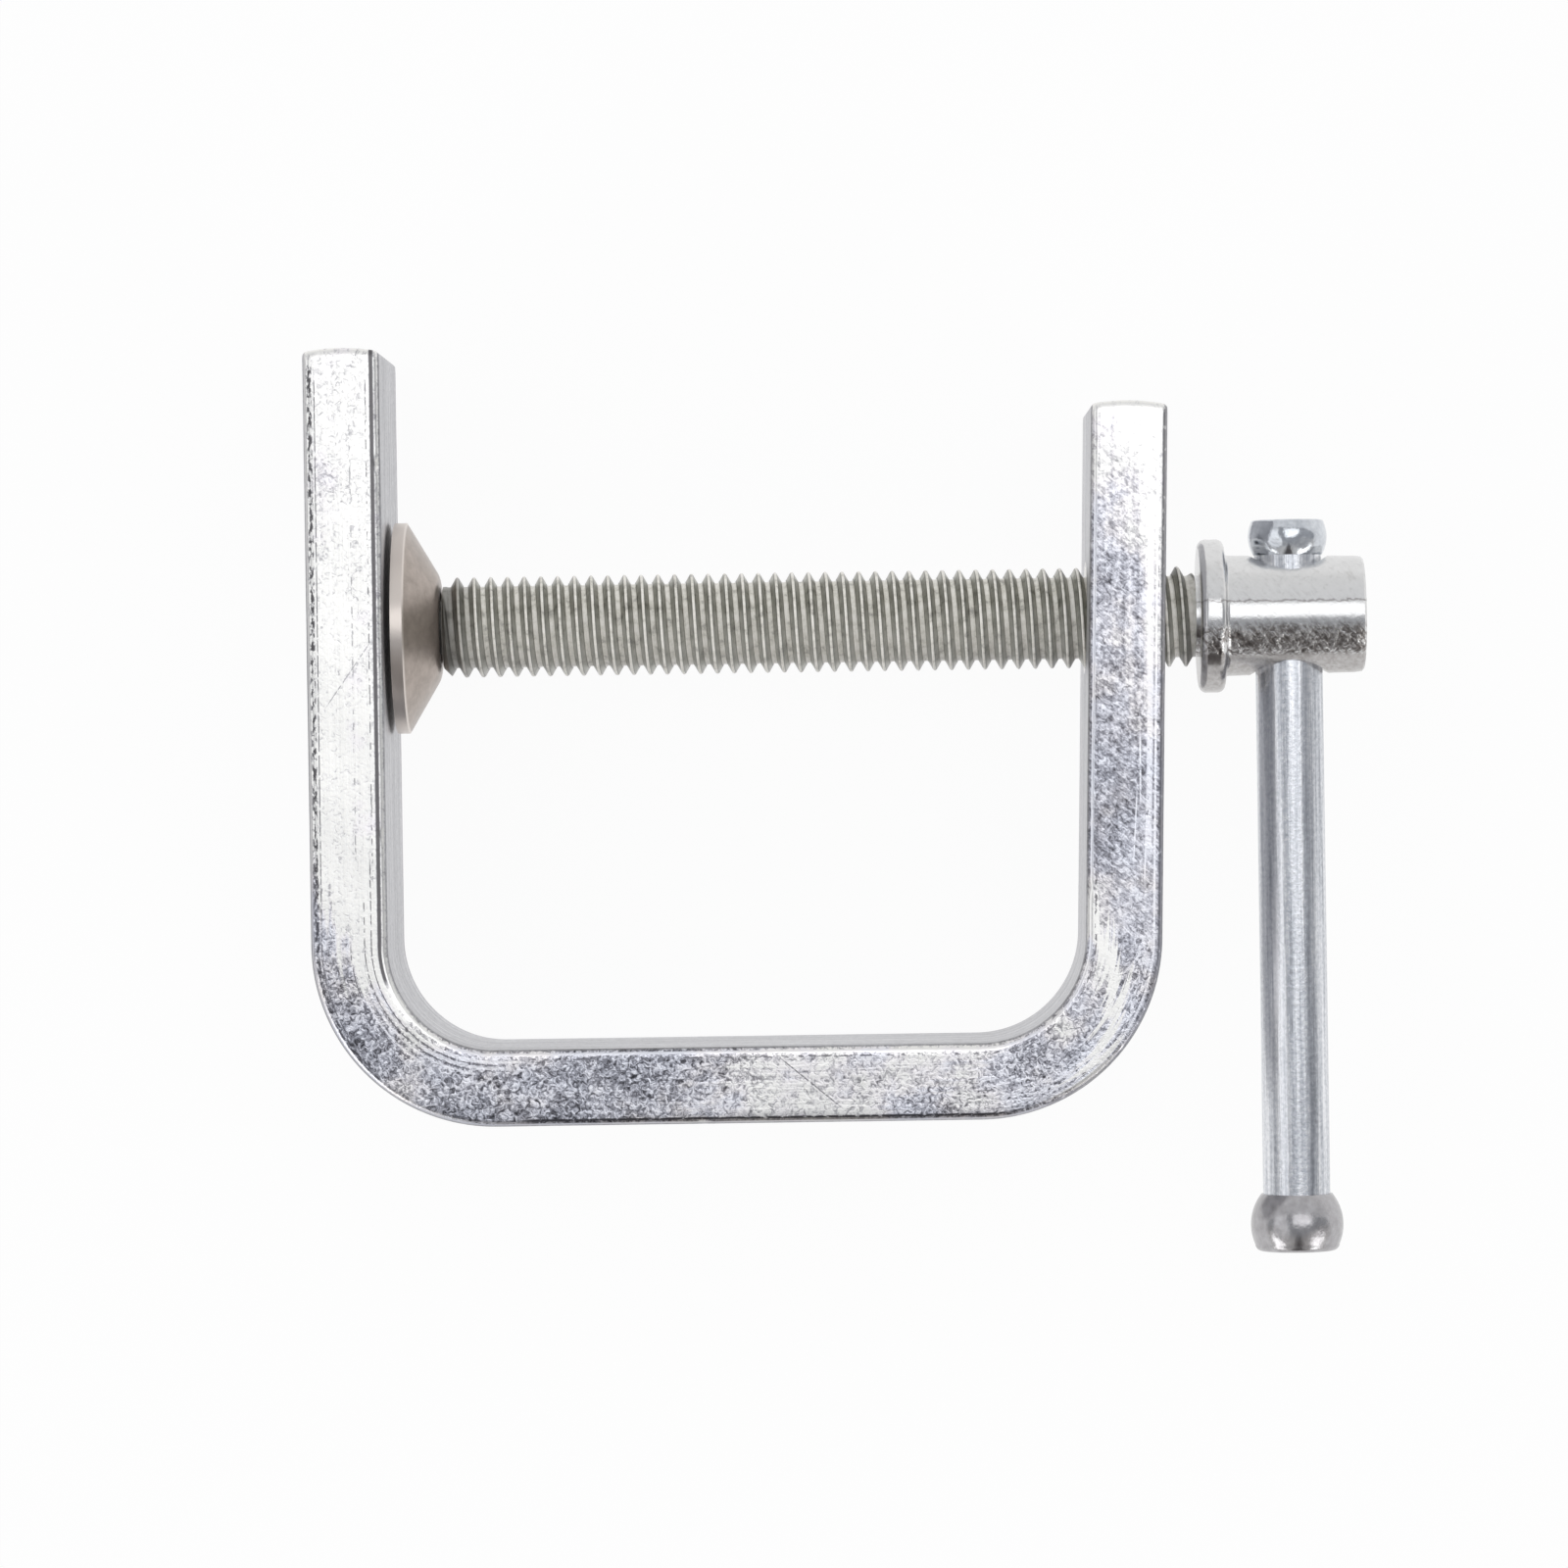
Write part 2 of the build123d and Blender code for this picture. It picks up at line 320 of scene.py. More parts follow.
def draw_bar_lines(tree, tone, along, across, breaks):
    """Draws BAR_LINES over the lightness of the bar's plate, all in mm."""
    for start, first, end, last, width, lightness, share in BAR_LINES:
        middle = first
        if first != last:
            middle = add_node(tree, "ShaderNodeMapRange", [along, start, end, first, last])
        off = add_node(tree, "ShaderNodeMath", [across, middle], operation="SUBTRACT")
        off = add_node(tree, "ShaderNodeMath", [off], operation="ABSOLUTE")
        line = add_node(tree, "ShaderNodeMapRange", [off, width / 2, width / 4])
        begun = add_node(tree, "ShaderNodeMapRange", [along, start - 1, start + 1])
        line = add_node(tree, "ShaderNodeMath", [line, begun], operation="MULTIPLY")
        ended = add_node(tree, "ShaderNodeMapRange", [along, end + 1, end - 1])
        line = add_node(tree, "ShaderNodeMath", [line, ended], operation="MULTIPLY")
        if share < 1:
            rare = 0.7 - 0.4 * share
            whole = add_node(tree, "ShaderNodeMapRange", [breaks, rare, rare + 0.06])
            line = add_node(tree, "ShaderNodeMath", [line, whole], operation="MULTIPLY")
        tone = add_node(tree, "ShaderNodeMix", {"Factor": line, "A": tone, "B": lightness})
    return tone


def plate_level(tree, place, along, across, streaks):
    """The plate's lightness along the bar, cloudy, with ragged borders that lean across it."""
    patches = add_node(tree, "ShaderNodeTexNoise", {"Vector": place, "Scale": per_mm(9),
        "Detail": 3.0, "Roughness": 0.6})
    lean = add_node(tree, "ShaderNodeMath", [across, 2.2], operation="MULTIPLY")
    ragged = add_node(tree, "ShaderNodeMapRange", [streaks, 0.0, 1.0, -15.0, 15.0])
    way = add_node(tree, "ShaderNodeMath", [along, lean], operation="ADD")
    way = add_node(tree, "ShaderNodeMath", [way, ragged], operation="ADD")
    way = add_node(tree, "ShaderNodeMath", [way, BAR_LENGTH_MM], operation="DIVIDE")
    level = add_node(tree, "ShaderNodeValToRGB", [way], stops=BAR_LIGHTNESS)
    cloud = add_node(tree, "ShaderNodeMapRange", [patches, 0.0, 1.0, -0.25, 0.25])
    return add_node(tree, "ShaderNodeMath", [level, cloud], operation="ADD")


def plate_hills(tree, bar, along, worms):
    """The plate's worm-like hills, which turn into hatching on the tapped leg."""
    hatched = add_node(tree, "ShaderNodeMapping", {"Vector": bar,
        "Rotation": (0, 0, math.radians(-50)), "Scale": (1.2, 0.45, 0.8)},
        vector_type="TEXTURE")
    hatching = add_node(tree, "ShaderNodeTexNoise", {"Vector": hatched, "Scale": 1.0,
        "Detail": 3.0, "Roughness": 0.62, "Distortion": 0.8})
    share = add_node(tree, "ShaderNodeMapRange", [along, 165.0, 185.0, 0.0, 0.5])
    return add_node(tree, "ShaderNodeMix", {"Factor": share, "A": worms, "B": hatching})


def narrow_face_tone(tree, bar, along, across, level, hills, streaks):
    """How light the narrow faces are: mottled where the plate is dark, lighter on the tops of the
    hills and darker in their hollows, which is partly the plate's own mottle and partly painted
    highlight and painted shade, with a fine grain, and with roller lines and scratches that are
    broken by noise."""
    # Painted highlight and painted shade, partly the plate's own mottle: the hills that the bump
    # raises are lighter on their tops and darker in their hollows
    swing = add_node(tree, "ShaderNodeMapRange", [hills, 0.0, 1.0, -1.0, 1.0])
    strong = add_node(tree, "ShaderNodeMapRange", [level, 1.0, 0.75, 0.65, 1.15])
    swing = add_node(tree, "ShaderNodeMath", [swing, strong], operation="MULTIPLY")
    tone = add_node(tree, "ShaderNodeMath", [level, swing], operation="ADD")
    grain = add_node(tree, "ShaderNodeMapRange", [streaks, 0.0, 1.0, -0.16, 0.16])
    tone = add_node(tree, "ShaderNodeMath", [tone, grain], operation="ADD")
    short = add_node(tree, "ShaderNodeMapping", {"Vector": bar, "Scale": (1 / 0.9, 2.6, 1 / 3)})
    breaks = add_node(tree, "ShaderNodeTexNoise", {"Vector": short, "Scale": 1.0,
        "Detail": 3.0, "Roughness": 0.6})
    return draw_bar_lines(tree, tone, along, across, breaks)


def wide_face_tone(tree, bar, up, worms):
    """How light the wide faces are: darker than the narrow faces, which is painted shade, with
    rolling marks and specks, and with a darker margin along both edges, which is painted shade
    too."""
    height = add_node(tree, "ShaderNodeMath", [up], operation="ABSOLUTE")
    # Painted shade: the wide faces start darker, and darker still towards both edges
    tone = add_node(tree, "ShaderNodeMapRange", [height, 13.2, 14.2, 0.75, 0.6])
    rolled = add_node(tree, "ShaderNodeMapping", {"Vector": bar, "Scale": (1 / 30, 1, 1 / 0.9)})
    marks = add_node(tree, "ShaderNodeTexNoise", {"Vector": rolled, "Scale": 1.0,
        "Detail": 4.0, "Roughness": 0.65})
    marks = add_node(tree, "ShaderNodeMapRange", [marks, 0.0, 1.0, -0.3, 0.3])
    tone = add_node(tree, "ShaderNodeMath", [tone, marks], operation="ADD")
    specks = add_node(tree, "ShaderNodeMapRange", [worms, 0.0, 1.0, -0.2, 0.2])
    return add_node(tree, "ShaderNodeMath", [tone, specks], operation="ADD")


def plate_colour(tree, place, tone, level, narrow):
    """The plate's colour from its tone: grey, and on the narrow faces faintly blue where the
    plate is dark, faintly pink between and faintly yellow where it is light."""
    colour = add_node(tree, "ShaderNodeValToRGB", [tone], stops=[(0.25, "#414043"),
        (0.42, "#6c6b6e"), (0.57, "#929296"), (0.7, "#b4b4b8"), (0.82, "#d2d2d5"),
        (0.92, "#ebebec"), (1.0, "#f4f4f4")])
    tints = add_node(tree, "ShaderNodeTexNoise", {"Vector": place, "Scale": per_mm(5),
        "Detail": 2.0, "Roughness": 0.5})
    uneven = add_node(tree, "ShaderNodeMapRange", [tints, 0.0, 1.0, -0.4, 0.4])
    uneven = add_node(tree, "ShaderNodeMath", [level, uneven], operation="ADD")
    tint = add_node(tree, "ShaderNodeValToRGB", [uneven], stops=[(0.6, "#f3f5fd"),
        (0.75, "#f7f7fd"), (0.84, "#fdfafb"), (0.95, "#fefdfa")])
    return add_node(tree, "ShaderNodeMix", {"Factor": narrow, "A": colour, "B": tint},
        "Result", data_type="RGBA", blend_type="MULTIPLY")


def bright_zinc_plate():
    """Bright zinc plate over hot-rolled bar: near white and fairly smooth on the legs' ends, and
    on the bottom and the lower tapped leg an orange-peel mottle of worm-like hills, blue-grey
    with white tops and dark hollows, which are partly its own mottle and partly painted
    highlight and painted shade. Roller lines run along the bar, and its wide faces are
    duller and darker, the darkness painted shade, with rolling marks."""
    material, tree = new_material("bright_zinc_plate")
    place = add_node(tree, "ShaderNodeTexCoord", output="Object")
    bar = add_node(tree, "ShaderNodeAttribute", output="Vector", attribute_name="bar_place")
    bar = add_node(tree, "ShaderNodeVectorMath", {0: bar, "Scale": 1000}, operation="SCALE")
    along, across, up = add_node(tree, "ShaderNodeSeparateXYZ", [bar], None)
    side = add_node(tree, "ShaderNodeMath", [across], operation="ABSOLUTE")
    narrow = add_node(tree, "ShaderNodeMapRange", [side, 4.42, 4.25])
    worms = add_node(tree, "ShaderNodeTexNoise", {"Vector": place, "Scale": per_mm(0.62),
        "Detail": 3.0, "Roughness": 0.62, "Distortion": 1.1})
    long = add_node(tree, "ShaderNodeMapping", {"Vector": bar, "Scale": (1 / 45, 1 / 0.9, 1 / 6)})
    streaks = add_node(tree, "ShaderNodeTexNoise", {"Vector": long, "Scale": 1.0,
        "Detail": 4.0, "Roughness": 0.65})

    level = plate_level(tree, place, along, across, streaks)
    hills = plate_hills(tree, bar, along, worms)
    narrow_tone = narrow_face_tone(tree, bar, along, across, level, hills, streaks)
    wide_tone = wide_face_tone(tree, bar, up, worms)
    tone = add_node(tree, "ShaderNodeMix", {"Factor": narrow, "A": wide_tone, "B": narrow_tone})
    colour = plate_colour(tree, place, tone, level, narrow)

    relief = add_node(tree, "ShaderNodeMapRange", [level, 1.0, 0.7, 0.25, 1.0])
    relief = add_node(tree, "ShaderNodeMath", [relief, narrow], operation="MULTIPLY")
    normal = add_node(tree, "ShaderNodeBump", {"Height": hills, "Strength": relief,
        "Distance": 0.06 * MM})
    normal = add_node(tree, "ShaderNodeBump", {"Height": streaks, "Strength": 0.6,
        "Distance": 0.04 * MM, "Normal": normal})
    roughness = add_node(tree, "ShaderNodeMapRange", [narrow, 0.0, 1.0, 0.42, 0.28])
    finish_metal(tree, colour, normal, roughness)
    return material


def distance_from_screw_axis(tree, place):
    """The distance of a place in object coordinates from the screw's axis."""
    flat = add_node(tree, "ShaderNodeVectorMath", [place, (0, 1, 1)], operation="MULTIPLY")
    return add_node(tree, "ShaderNodeVectorMath", [flat], "Value", operation="LENGTH")


def rolled_thread_zinc():
    """Zinc plate over a rolled thread: satin and faintly olive, with painted highlights as pale
    lines on the crests and in the roots and painted shade as dark bands beside them, darker on
    the flanks, paler along one side as painted light, and dark next to the pad as painted
    shade, with fine rolling lines round it."""
    material, tree = new_material("rolled_thread_zinc")
    place = add_node(tree, "ShaderNodeTexCoord", output="Object")
    along, towards_tips, _ = add_node(tree, "ShaderNodeSeparateXYZ", [place], None)
    radius = distance_from_screw_axis(tree, place)
    wear = add_node(tree, "ShaderNodeTexNoise", {"Vector": place, "Scale": per_mm(1.3),
        "Detail": 4.0, "Roughness": 0.65})

    # Root, flank and crest, as parts of the thread's depth: pale root and crest lines that are
    # painted highlights, less metallic so that they show, and dark bands beside them that are
    # painted shade, all under a mottle of wear
    height = add_node(tree, "ShaderNodeMapRange", [radius, THREAD_RADIUS - THREAD_DEPTH,
        THREAD_RADIUS])
    colour = add_node(tree, "ShaderNodeValToRGB", [height], stops=[(0.0, "#fffdf8"),
        (0.09, "#fffdf8"), (0.16, "#6c6b67"), (0.3, "#bcbcb7"), (0.75, "#b0b0ab"),
        (0.9, "#6c6b67"), (0.94, "#fffdf8")])
    metallic = add_node(tree, "ShaderNodeValToRGB", [height], stops=[(0.0, 0.1), (0.09, 0.1),
        (0.16, 0.8), (0.9, 0.8), (0.94, 0.1)])
    dull = add_node(tree, "ShaderNodeValToRGB", [wear], stops=[(0.3, "#b0afaa"),
        (0.45, "#e9e8e2"), (0.6, "#fcfbf8")])
    colour = add_node(tree, "ShaderNodeMix", {"Factor": 1.0, "A": colour, "B": dull}, "Result",
        data_type="RGBA", blend_type="MULTIPLY")

    # Painted light along one side, paler and less metallic away from the tips, and painted shade
    # next to the pad
    painted_light_side = add_node(tree, "ShaderNodeMapRange", [towards_tips, 2 * MM, -3 * MM, 0.0, 0.5])
    paler = add_node(tree, "ShaderNodeMath", [painted_light_side, 0.3], operation="MULTIPLY")
    colour = add_node(tree, "ShaderNodeMix", {"Factor": paler, "A": colour,
        "B": linear("#f4f3ef")}, "Result", data_type="RGBA")
    # Painted shade: the thread turns dark next to the pad
    painted_shade_by_pad = add_node(tree, "ShaderNodeMapRange", [along, THREAD_START + 0.8 * MM,
        THREAD_START + 4 * MM, 0.75, 0.0])
    colour = add_node(tree, "ShaderNodeMix", {"Factor": painted_shade_by_pad, "A": colour,
        "B": linear("#4a4844")}, "Result", data_type="RGBA")
    # Less metallic on the side with painted light, so that it shows paler
    metallic = add_node(tree, "ShaderNodeMath", [metallic, painted_light_side], operation="SUBTRACT",
        use_clamp=True)

    lines = add_node(tree, "ShaderNodeMath", [radius, 2 * math.pi * per_mm(0.22)],
        operation="MULTIPLY")
    lines = add_node(tree, "ShaderNodeMath", [lines], operation="SINE")
    normal = add_node(tree, "ShaderNodeBump", {"Height": lines, "Strength": 1.0,
        "Distance": 0.006 * MM})
    normal = add_node(tree, "ShaderNodeBump", {"Height": wear, "Strength": 1.0,
        "Distance": 0.08 * MM, "Normal": normal})
    finish_metal(tree, colour, normal, 0.32, metallic)
    return material


def forged_head_zinc():
    """Zinc plate over a forged head: smooth and light grey, with a fine line where the dies
    met, and pebbled and scratched along one side, where it mirrors in small patches."""
    material, tree = new_material("forged_head_zinc")
    place = add_node(tree, "ShaderNodeTexCoord", output="Object")
    towards_tips = add_node(tree, "ShaderNodeSeparateXYZ", [place], "Y")
    pebbles = add_node(tree, "ShaderNodeTexNoise", {"Vector": place, "Scale": per_mm(0.75),
        "Detail": 3.0, "Roughness": 0.6, "Distortion": 0.8})
    slanted = add_node(tree, "ShaderNodeMapping", {"Vector": place,
        "Rotation": (0, 0, math.radians(-50)), "Scale": (2.4 * MM, 0.5 * MM, 1.2 * MM)},
        vector_type="TEXTURE")
    scratches = add_node(tree, "ShaderNodeTexNoise", {"Vector": slanted, "Scale": 1.0,
        "Detail": 2.0, "Roughness": 0.6})
    rough = add_node(tree, "ShaderNodeMix", {"Factor": 0.4, "A": pebbles, "B": scratches})

    # The pebbled band, and the duller strip beyond it
    from_middle = add_node(tree, "ShaderNodeMapRange", [towards_tips, -0.8 * MM, -1.8 * MM,
        0.14, 1.0])
    from_edge = add_node(tree, "ShaderNodeMapRange", [towards_tips, -4.9 * MM, -4.4 * MM,
        0.14, 1.0])
    pebbled = add_node(tree, "ShaderNodeMath", [from_middle, from_edge], operation="MULTIPLY")
    swing = add_node(tree, "ShaderNodeMapRange", [rough, 0.0, 1.0, -1.4, 1.4])
    swing = add_node(tree, "ShaderNodeMath", [swing, pebbled], operation="MULTIPLY")
    ground = add_node(tree, "ShaderNodeMapRange", [pebbled, 0.1, 1.0, 0.62, 0.5])
    tone = add_node(tree, "ShaderNodeMath", [swing, ground], operation="ADD")
    dull = add_node(tree, "ShaderNodeMapRange", [towards_tips, -4.4 * MM, -4.9 * MM, 0.0, 0.2])
    tone = add_node(tree, "ShaderNodeMath", [tone, dull], operation="SUBTRACT")
    colour = add_node(tree, "ShaderNodeValToRGB", [tone], stops=[(0.0, "#5e5856"),
        (0.35, "#a29e9c"), (0.6, "#dadada"), (1.0, "#f2f2f2")])

    # The wavy line where the dies met
    wavy = add_node(tree, "ShaderNodeMapRange", [scratches, 0.0, 1.0, -0.5 * MM, 0.5 * MM])
    seam = add_node(tree, "ShaderNodeMath", [towards_tips, wavy], operation="ADD")
    seam = add_node(tree, "ShaderNodeMath", [seam, 1.6 * MM], operation="SUBTRACT")
    seam = add_node(tree, "ShaderNodeMath", [seam], operation="ABSOLUTE")
    seam = add_node(tree, "ShaderNodeMapRange", [seam, 0.16 * MM, 0.05 * MM, 0.0, 0.6])
    colour = add_node(tree, "ShaderNodeMix", {"Factor": seam, "A": colour,
        "B": linear("#8a8583")}, "Result", data_type="RGBA")
    normal = add_node(tree, "ShaderNodeBump", {"Height": rough, "Strength": pebbled,
        "Distance": 0.16 * MM})
    finish_metal(tree, colour, normal, roughness=0.2)
    return material


def turned_steel():
    """Bare steel, turned: warm grey and satin, with fine tool rings round its axis and a
    lighter, burnished rim."""
    material, tree = new_material("turned_steel")
    place = add_node(tree, "ShaderNodeTexCoord", output="Object")
    radius = distance_from_screw_axis(tree, place)
    grain = add_node(tree, "ShaderNodeTexNoise", {"Vector": place, "Scale": per_mm(1.6),
        "Detail": 5.0, "Roughness": 0.7})
    rings = add_node(tree, "ShaderNodeTexNoise", {"W": radius, "Scale": per_mm(0.3),
        "Detail": 2.0}, noise_dimensions="1D")
    colour = add_node(tree, "ShaderNodeValToRGB", [grain],
        stops=[(0.25, "#998f87"), (0.75, "#bbafa7")])
    rim = add_node(tree, "ShaderNodeMapRange", [radius, 12.2 * MM, 12.4 * MM])
    colour = add_node(tree, "ShaderNodeMix", {"Factor": rim, "A": colour,
        "B": linear("#dcd3cc")}, "Result", data_type="RGBA")
    normal = add_node(tree, "ShaderNodeBump", {"Height": rings, "Strength": 1.0,
        "Distance": 0.012 * MM})
    normal = add_node(tree, "ShaderNodeBump", {"Height": grain, "Strength": 1.0,
        "Distance": 0.02 * MM, "Normal": normal})
    finish_metal(tree, colour, normal, roughness=0.3, metallic=0.85)
    return material


def drawn_rod_zinc():
    """Zinc plate over drawn rod: bluish silver, streaked and finely dotted along its length."""
    material, tree = new_material("drawn_rod_zinc")
    place = add_node(tree, "ShaderNodeTexCoord", output="Object")
    drawn = add_node(tree, "ShaderNodeMapping", {"Vector": place,
        "Scale": (per_mm(0.8), per_mm(34), per_mm(0.8))})
    streaks = add_node(tree, "ShaderNodeTexNoise", {"Vector": drawn, "Scale": 1.0,
        "Detail": 4.0, "Roughness": 0.65})
    dots = add_node(tree, "ShaderNodeTexNoise", {"Vector": place, "Scale": per_mm(0.5),
        "Detail": 3.0, "Roughness": 0.65})
    tone = add_node(tree, "ShaderNodeMix", {"Factor": 0.3, "A": streaks, "B": dots})
    colour = add_node(tree, "ShaderNodeValToRGB", [tone], stops=[(0.36, "#a6a9af"),
        (0.47, "#c9ccd2"), (0.62, "#eeeff2")])
    normal = add_node(tree, "ShaderNodeBump", {"Height": tone, "Strength": 1.0,
        "Distance": 0.08 * MM})
    finish_metal(tree, colour, normal, roughness=0.26)
    return material


def upset_head_zinc(name, dark, light, roughness):
    """Zinc plate over a head upset in a die: cloudy, without the rod's streaks."""
    material, tree = new_material(name)
    place = add_node(tree, "ShaderNodeTexCoord", output="Object")
    grain = add_node(tree, "ShaderNodeTexNoise", {"Vector": place, "Scale": per_mm(1.1),
        "Detail": 4.0, "Roughness": 0.6})
    colour = add_node(tree, "ShaderNodeValToRGB", [grain], stops=[(0.3, dark), (0.7, light)])
    normal = add_node(tree, "ShaderNodeBump", {"Height": grain, "Strength": 1.0,
        "Distance": 0.04 * MM})
    finish_metal(tree, colour, normal, roughness)
    return material


def spring_steel_wire():
    """Drawn spring steel: dull dark grey, with fine draw marks."""
    material, tree = new_material("spring_steel_wire")
    place = add_node(tree, "ShaderNodeTexCoord", output="Object")
    grain = add_node(tree, "ShaderNodeTexNoise", {"Vector": place, "Scale": per_mm(0.2),
        "Detail": 2.0, "Roughness": 0.6})
    colour = add_node(tree, "ShaderNodeValToRGB", [grain],
        stops=[(0.3, "#7c7c7f"), (0.7, "#949498")])
    normal = add_node(tree, "ShaderNodeBump", {"Height": grain, "Strength": 1.0,
        "Distance": 0.004 * MM})
    finish_metal(tree, colour, normal, roughness=0.38)
    return material


# The thread's shape, shared by the screw and the hole that it runs in


def thread_profile():
    """One pitch of a rolled thread as (distance along, radius): a narrow rounded crest, flanks
    that stand at 60 degrees to each other, and a flat root with rounded corners."""
    flank = math.radians(30)
    rounding = THREAD_CREST_ROUNDING + THREAD_ROOT_ROUNDING
    run = (THREAD_DEPTH - rounding * (1 - math.sin(flank))) * math.tan(flank)
    half_flat = THREAD_PITCH / 2 - rounding * math.cos(flank) - run
    points = []
    for turn in (-60, -30, 0, 30, 60):
        along = THREAD_CREST_ROUNDING * math.sin(math.radians(turn))
        drop = THREAD_CREST_ROUNDING * (1 - math.cos(math.radians(turn)))
        points.append((along, THREAD_RADIUS - drop))
    for side, turns in ((-1, (60, 30, 0)), (1, (0, 30, 60))):
        for turn in turns:
            along = half_flat + THREAD_ROOT_ROUNDING * math.sin(math.radians(turn))
            rise = THREAD_ROOT_ROUNDING * (1 - math.cos(math.radians(turn)))
            radius = THREAD_RADIUS - THREAD_DEPTH + rise
            points.append((THREAD_PITCH / 2 + side * along, radius))
    return points


def thread_radius_at(distance):
    """The thread's radius at a distance along from the middle of a crest."""
    points = thread_profile()
    points.append((points[0][0] + THREAD_PITCH, points[0][1]))
    distance = (distance - points[0][0]) % THREAD_PITCH + points[0][0]
    for (x0, r0), (x1, r1) in zip(points, points[1:]):
        if distance <= x1:
            return r0 + (r1 - r0) * (distance - x0) / (x1 - x0)
    return points[-1][1]


def threaded_rod(start, end, limit, extra):
    """Rings of a right-hand thread between two places along the screw, and the faces between
    them. limit gives the largest radius at a place, and extra is added to every radius."""
    profile = thread_profile()
    first_turn = math.floor(start / THREAD_PITCH) - 1
    last_turn = math.ceil(end / THREAD_PITCH) + 1
    vertices = []
    for turn in range(first_turn, last_turn + 1):
        for along, _ in profile:
            for i in range(ROUND_STEPS):
                share = i / ROUND_STEPS
                x = (turn + share) * THREAD_PITCH + along
                x = min(max(x, start), end)
                radius = thread_radius_at(x - share * THREAD_PITCH)
                radius = min(radius, limit(x)) + extra
                angle = 2 * math.pi * share
                vertices.append((x, radius * math.cos(angle), radius * math.sin(angle)))
    faces = []
    rows = len(vertices) // ROUND_STEPS
    for row in range(rows - 1):
        low = row * ROUND_STEPS
        for i in range(ROUND_STEPS - 1):
            faces.append((low + i, low + i + 1, low + i + 1 + ROUND_STEPS, low + i + ROUND_STEPS))
        # A turn ends where the next one starts, a whole pitch further on
        next_turn = low + len(profile) * ROUND_STEPS
        if next_turn + ROUND_STEPS < len(vertices):
            last = low + ROUND_STEPS - 1
            faces.append((last, next_turn, next_turn + ROUND_STEPS, last + ROUND_STEPS))
    return vertices, faces


# The bent bar: a rounded rectangle carried along the bar's middle line


def straight_stretch(start, direction, length):
    """The length of a straight stretch of the middle line, and places along it: part of the
    way, point and direction."""
    count = round(length / STATION_STEP)
    parts = [length * i / count for i in range(count)]
    return length, [(part, start + direction * part, direction) for part in parts]


def bend_stretch(centre, radius, first_angle, last_angle):
    """The length of a bend of the middle line, and places along it in the same way."""
    length = radius * (last_angle - first_angle)
    count = round(length / STATION_STEP)
    places = []
    for i in range(count):
        angle = first_angle + (last_angle - first_angle) * i / count
        out = Vector((math.cos(angle), math.sin(angle)))
        places.append((length * i / count, centre + out * radius, Vector((-out.y, out.x))))
    return length, places


def bar_stations():
    """The bar's middle line, from the fixed leg's tip to the tapped leg's tip: at each station
    the way so far, the point and the direction."""
    middle_radius = INNER_BEND_RADIUS + BAR_THICKNESS / 2
    bend_height = INNER_BEND_RADIUS - THROAT_DEPTH
    lean = SCREW_LEG_LEAN
    first_centre = Vector((INNER_BEND_RADIUS, bend_height))
    leg_foot = JAW_OPENING + bend_height * math.tan(lean)
    second_centre = Vector((leg_foot - INNER_BEND_RADIUS / math.cos(lean), bend_height))
    leg_direction = Vector((math.sin(lean), math.cos(lean)))
    leg_start = second_centre + middle_radius * Vector((math.cos(lean), -math.sin(lean)))
    leg_length = (SCREW_LEG_REACH - leg_start.y) / math.cos(lean)
    tip = Vector((-BAR_THICKNESS / 2, JAW_LEG_REACH))
    bottom_start = Vector((first_centre.x, bend_height - middle_radius))
    stretches = [
        straight_stretch(tip, Vector((0, -1)), JAW_LEG_REACH - bend_height),
        bend_stretch(first_centre, middle_radius, math.pi, 1.5 * math.pi),
        straight_stretch(bottom_start, Vector((1, 0)), second_centre.x - first_centre.x),
        bend_stretch(second_centre, middle_radius, 1.5 * math.pi, 2 * math.pi - lean),
        straight_stretch(leg_start, leg_direction, leg_length),
    ]
    stations = []
    way = 0.0
    for length, places in stretches:
        stations.extend((way + part, point, direction) for part, point, direction in places)
        way += length
    stations.append((way, leg_start + leg_direction * leg_length, leg_direction))
    return stations


def bar_section(inset, arris):
    """Points round the bar's section as (out of the U, up), with rounded arrises, all drawn in
    by the inset."""
    half_thickness = BAR_THICKNESS / 2 - inset
    half_width = BAR_WIDTH / 2 - inset
    arris = max(arris - inset, SMALLEST_ARRIS)
    corners = [(1, 1), (-1, 1), (-1, -1), (1, -1)]
    centres = [Vector((out * (half_thickness - arris), up * (half_width - arris)))
        for out, up in corners]
    points = []
    for turn, centre in enumerate(centres):
        for i in range(ARRIS_STEPS + 1):
            angle = math.pi / 2 * (turn + i / ARRIS_STEPS)
            points.append(centre + arris * Vector((math.cos(angle), math.sin(angle))))
        angle = math.pi / 2 * (turn + 1)
        next_centre = centres[(turn + 1) % 4]
        face_start = points[-1]
        face_end = next_centre + arris * Vector((math.cos(angle), math.sin(angle)))
        steps = NARROW_FACE_STEPS if turn % 2 == 0 else WIDE_FACE_STEPS
        points.extend(face_start.lerp(face_end, i / steps) for i in range(1, steps))
    return points


